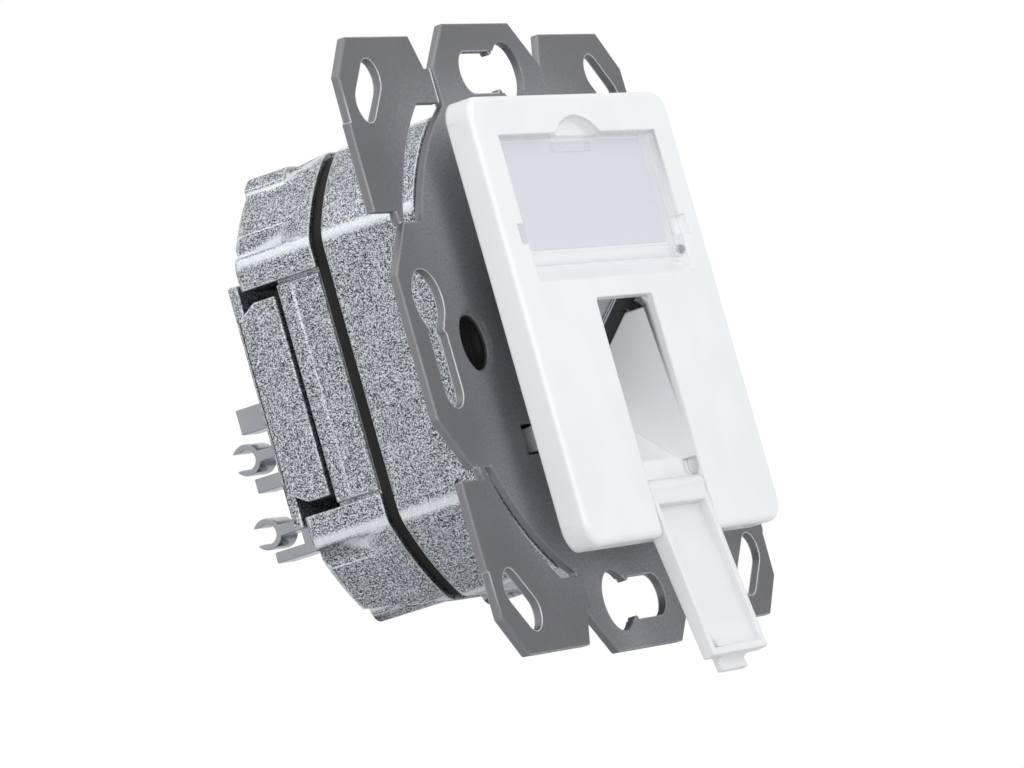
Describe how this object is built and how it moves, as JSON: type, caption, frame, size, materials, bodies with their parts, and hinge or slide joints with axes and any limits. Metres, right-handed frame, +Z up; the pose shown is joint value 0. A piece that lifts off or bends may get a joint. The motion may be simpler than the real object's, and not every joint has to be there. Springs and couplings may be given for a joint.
{
  "type": "flush-mounted data outlet insert",
  "caption": "Shielded modular jack insert for a round wall or floor box: square plate with label window and hinged dust flap on a stamped ring, cast housing and cable clamps behind.",
  "frame": {"origin": "centre of the box-screw pattern of the support ring, in the plane of the wall, which is the rear face of the ring's upper corner tabs", "axes": "+X right and +Z up as seen from the front, +Y into the wall; the centre plate faces -Y"},
  "size_m": [0.0712, 0.0427, 0.0763],
  "materials": {
    "white_plastic": "smooth white moulding with a soft sheen",
    "clear_plastic": "clear moulding",
    "milky_plastic": "milky translucent moulding",
    "paper": "pale card behind the window",
    "ring_steel": "zinc-plated sheet steel, satin, with bright cut edges",
    "zinc_casting": "bead-blasted die casting, silver grey with a fine sparkle",
    "black_plastic": "black moulding",
    "screw_steel": "bright zinc-plated",
    "comb_metal": "bright tinned metal",
    "shield_metal": "bright tinned sheet",
    "contact_metal": "gold-plated wires",
    "board_laminate": "green laminate",
    "terminal_plastic": "off-white moulding"
  },
  "bodies": {
    "outlet": {"centre_plate": "white_plastic", "label_insert": "paper", "support_ring": "ring_steel", "ring_screws": "screw_steel", "front_housing": "zinc_casting", "carrier_frame": "black_plastic", "rear_housing": "zinc_casting", "housing_screws": "screw_steel", "rear_cover": "zinc_casting", "cover_screws": "screw_steel", "cable_comb_left": "comb_metal", "cable_comb_right": "comb_metal", "jack_shield": "shield_metal", "jack_insert": "black_plastic", "jack_contacts": "contact_metal", "circuit_board": "board_laminate", "terminal_block_left": "terminal_plastic", "terminal_block_right": "terminal_plastic", "terminal_blades_left": "shield_metal", "terminal_blades_right": "shield_metal", "earth_spring": "shield_metal"},
    "window": {"label_window": "clear_plastic"},
    "flap": {"dust_flap": "milky_plastic"}
  },
  "joints": [
    {"name": "window_hinge", "type": "hinge", "parent": "outlet", "child": "window", "pos_m": [0, -0.00895, 0.0068], "axis": [1, 0, 0], "range_deg": [0, 110]},
    {"name": "flap_hinge", "type": "hinge", "parent": "outlet", "child": "flap", "pos_m": [0, -0.0087, -0.01965], "axis": [-1, 0, 0], "range_deg": [0, 172]}
  ]
}
